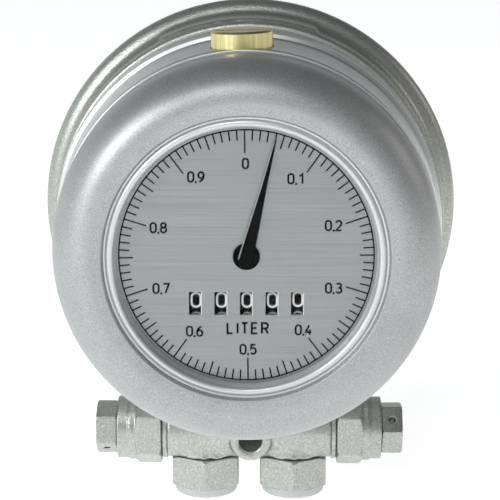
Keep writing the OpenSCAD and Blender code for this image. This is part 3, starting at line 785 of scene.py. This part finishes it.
class FLOWMETER_OT_bezel(bpy.types.Operator):
    """Press the bezel: a smooth dome with a lip round the window"""

    bl_idname = "flowmeter.bezel"
    bl_label = "Bezel"

    def execute(self, context):
        s = context.scene.flow_meter_bezel
        low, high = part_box("bezel")
        wide, sheet = high.x / MM, s.sheet / MM
        crest, rear = low.y / MM - DIAL_Y, high.y / MM - DIAL_Y
        dome, waist = wide - 9.5, 6.5  # radius and depth of the middle of the dome's curve
        lip_end = 32.3  # radius within which the sheet is pale bare metal, partly a painted highlight
        # the lip: a sleeve down to the dial, a seat for the glass, and a rolled bead round the window
        lip = [(29.8, 0), (29.8, -0.6), (30.5, -1.5), (30.9, -1.5), (30.9, -2.62), (30.15, -2.62)]
        lip += ellipse((31, -3.2), 0.85, 0.85, 180, 360, 10) + [(32, -3.5), (32.6, -3.6)]
        # a quick rise from the lip to the crest, the dome, the straight side and the bead at the rear
        outer = ellipse((33.1, -4.15), 0.42, -crest - 4.4, 180, 270, 8)
        outer += ellipse((dome, waist), wide - dome, waist - crest, -90, 0, 40)
        outer += [(wide - 0.2, 12), (wide - 0.3, rear - 1)]
        outer += ellipse((wide + 0.15, rear + 0.7), 0.4, 0.4, -130, 90, 10)
        inner = [(wide - sheet, rear)]
        inner += ellipse((dome, waist), wide - sheet - dome, waist - crest - sheet, 0, -80, 12)
        inner += [(34.6, 0)]
        outline = rounded(lip, s.lip_rounding / MM, 3) + outer + inner
        bezel = new_piece("bezel_shell", "head", "silver_lacquer", lathe(outline, s.steps), 50)
        # the lip and the bead at the rear are bare metal, paler than the lacquer: partly a painted highlight
        # for the bright rings they show
        bezel.data.materials.append(MATERIALS["bright_edge"])
        for face in bezel.data.polygons:
            if math.hypot(face.center.x, face.center.z) < lip_end * MM or face.center.y > high.y:
                face.material_index = 1
        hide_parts("bezel")
        return {"FINISHED"}


class FLOWMETER_OT_casting(bpy.types.Operator):
    """Paint the casting, with the soft edges of thick paint"""

    bl_idname = "flowmeter.casting"
    bl_label = "Casting"

    def execute(self, context):
        painted_copy("painted_casting", "casting", "meter_body", CASTING_PAINT, 4)
        return {"FINISHED"}


class FLOWMETER_OT_fittings(bpy.types.Operator):
    """Paint the filter housings, caps and union nuts"""

    bl_idname = "flowmeter.fittings"
    bl_label = "Fittings"

    def execute(self, context):
        for side in ("left", "right"):
            painted_copy(f"painted_housing_{side}", f"filter_housing_{side}", "meter_body", HOUSING_PAINT, 3)
            for part in (f"filter_cap_{side}", f"union_nut_{side}"):
                painted_copy(f"painted_{part}", part, part, NUT_PAINT, 3)
        return {"FINISHED"}


class FLOWMETER_OT_edges(bpy.types.Operator):
    """Break the sharp edges of the turned and sheet parts"""

    bl_idname = "flowmeter.edges"
    bl_label = "Broken edges"

    def execute(self, context):
        widths = {"head_ring": 0.15, "lock_screw": 0.2, "back_cover": 0.4, "cover_screws": 0.15}
        for node, width in widths.items():
            soften(node, width)
        return {"FINISHED"}


class FLOWMETER_OT_stage(bpy.types.Operator):
    """Set the pale floor, the soft lights and the camera"""

    bl_idname = "flowmeter.stage"
    bl_label = "Stage"

    def execute(self, context):
        s = context.scene.flow_meter_stage
        make_floor(s.floor_colour)
        make_camera(s)
        make_lights(s)
        context.scene.view_settings.view_transform = "Standard"
        return {"FINISHED"}


def make_floor(colour):
    """A wide matt floor just under the meter."""
    bm = bmesh.new()
    bmesh.ops.create_grid(bm, x_segments=1, y_segments=1, size=FLOOR_REACH)
    mesh = bpy.data.meshes.new("floor")
    bm.to_mesh(mesh)
    bm.free()
    floor = bpy.data.objects.new("floor", mesh)
    bpy.context.scene.collection.objects.link(floor)
    floor.location.z = CAD_BOX[0][2]
    # a lit sheet of paper: its own glow keeps it white all round
    material, tree = new_material("lit_white_paper")
    glow = {"Emission Color": tuple(colour), "Emission Strength": 0.85}
    coat(tree, {"Base Color": tuple(colour), "Roughness": 0.9, **glow})
    mesh.materials.append(material)


def make_camera(s):
    """The camera looks slightly down on the dial from in front."""
    data = bpy.data.cameras.new("camera")
    data.lens = s.lens
    data.sensor_width = 36
    data.clip_end = 50
    camera = bpy.data.objects.new("camera", data)
    right, forward, up = 6.5, 412.5, 86.4  # from the middle of the dial, in millimetres
    camera.location = Vector((right, DIAL_Y - forward, up)) * MM
    camera.rotation_euler = Euler((math.pi / 2 - s.pitch, 0, s.yaw))
    bpy.context.scene.collection.objects.link(camera)
    bpy.context.scene.camera = camera


def make_lights(s):
    """A broad light from the left, weaker ones from the front and right, and an even surround."""
    target = Vector((0, DIAL_Y * MM * 0.6, 0))  # inside the head, behind the dial
    # place in metres, power in watts and colour
    lights = {
        "light_left": ((-0.8, -0.8, 0.5), 5.5, "#fbfdff"),
        "light_front": ((-0.15, -1.0, 0.9), 2.5, "#ffffff"),
        "light_right": ((1.0, 0.15, 0.45), 0.6, "#fff4ee"),
    }
    for name, (at, power, colour) in lights.items():
        data = bpy.data.lights.new(name, "AREA")
        data.shape = "DISK"
        data.size = 0.5  # metres across
        data.energy = power
        data.color = linear(colour)[:3]
        lamp = bpy.data.objects.new(name, data)
        lamp.location = at
        lamp.rotation_euler = (target - Vector(at)).to_track_quat("-Z", "Y").to_euler()
        bpy.context.scene.collection.objects.link(lamp)
    world = bpy.data.worlds.new("studio")
    world.use_nodes = True
    tree = world.node_tree
    tree.nodes.clear()
    way = add(tree, "ShaderNodeTexCoord").outputs["Generated"]
    parts = add(tree, "ShaderNodeSeparateXYZ", {"Vector": way}).outputs
    # darker overhead than at the horizon, and darker to the right than to the left
    rise = add(tree, "ShaderNodeMapRange", {"Value": parts["Z"], "From Min": 0.1, "From Max": 0.95})
    greys = [(0.0, "#f4f6f7"), (0.35, "#c9cccd"), (0.65, "#7c8082"), (1.0, "#66696b")]
    sky = add(tree, "ShaderNodeValToRGB", {"Fac": rise.outputs["Result"]}, greys)
    fall = {"From Min": -0.9, "From Max": 0.9, "To Min": 1.35, "To Max": 0.35}
    side = add(tree, "ShaderNodeMapRange", {"Value": parts["X"], **fall})
    level = {0: side.outputs["Result"], 1: s.world_strength}
    strength = add(tree, "ShaderNodeMath", level, operation="MULTIPLY").outputs["Value"]
    light = {"Color": sky.outputs["Color"], "Strength": strength}
    surround = add(tree, "ShaderNodeBackground", light)
    add(tree, "ShaderNodeOutputWorld", {"Surface": surround.outputs["Background"]})
    bpy.context.scene.world = world


class FLOWMETER_PT_sidebar(bpy.types.Panel):
    """The meter's operators and settings"""

    bl_idname = "FLOWMETER_PT_sidebar"
    bl_label = "Flow Meter"
    bl_space_type = "VIEW_3D"
    bl_region_type = "UI"
    bl_category = "Flow Meter"

    def draw(self, context):
        for operator in OPERATORS:
            self.layout.operator(operator.bl_idname)
        for name, settings in SETTINGS.items():
            box = self.layout.box()
            for prop in settings.__annotations__:
                box.prop(getattr(context.scene, name), prop)


OPERATORS = (
    FLOWMETER_OT_materials,
    FLOWMETER_OT_stage,
    FLOWMETER_OT_bezel,
    FLOWMETER_OT_dial,
    FLOWMETER_OT_drums,
    FLOWMETER_OT_pointer,
    FLOWMETER_OT_casting,
    FLOWMETER_OT_fittings,
    FLOWMETER_OT_edges,
)


def register():
    """Registers the settings, operators and panel."""
    for cls in (*SETTINGS.values(), *OPERATORS, FLOWMETER_PT_sidebar):
        bpy.utils.register_class(cls)
    for name, settings in SETTINGS.items():
        setattr(bpy.types.Scene, name, PointerProperty(type=settings))


def unregister():
    """Takes them out again."""
    for name in SETTINGS:
        delattr(bpy.types.Scene, name)
    for cls in (FLOWMETER_PT_sidebar, *reversed(OPERATORS), *SETTINGS.values()):
        bpy.utils.unregister_class(cls)


def main():
    """Makes the meter's looks."""
    register()
    for operator in OPERATORS:
        group, name = operator.bl_idname.split(".")
        if getattr(getattr(bpy.ops, group), name)() != {"FINISHED"}:
            raise RuntimeError(f"{operator.bl_label} didn't finish")


if __name__ == "__main__":
    main()
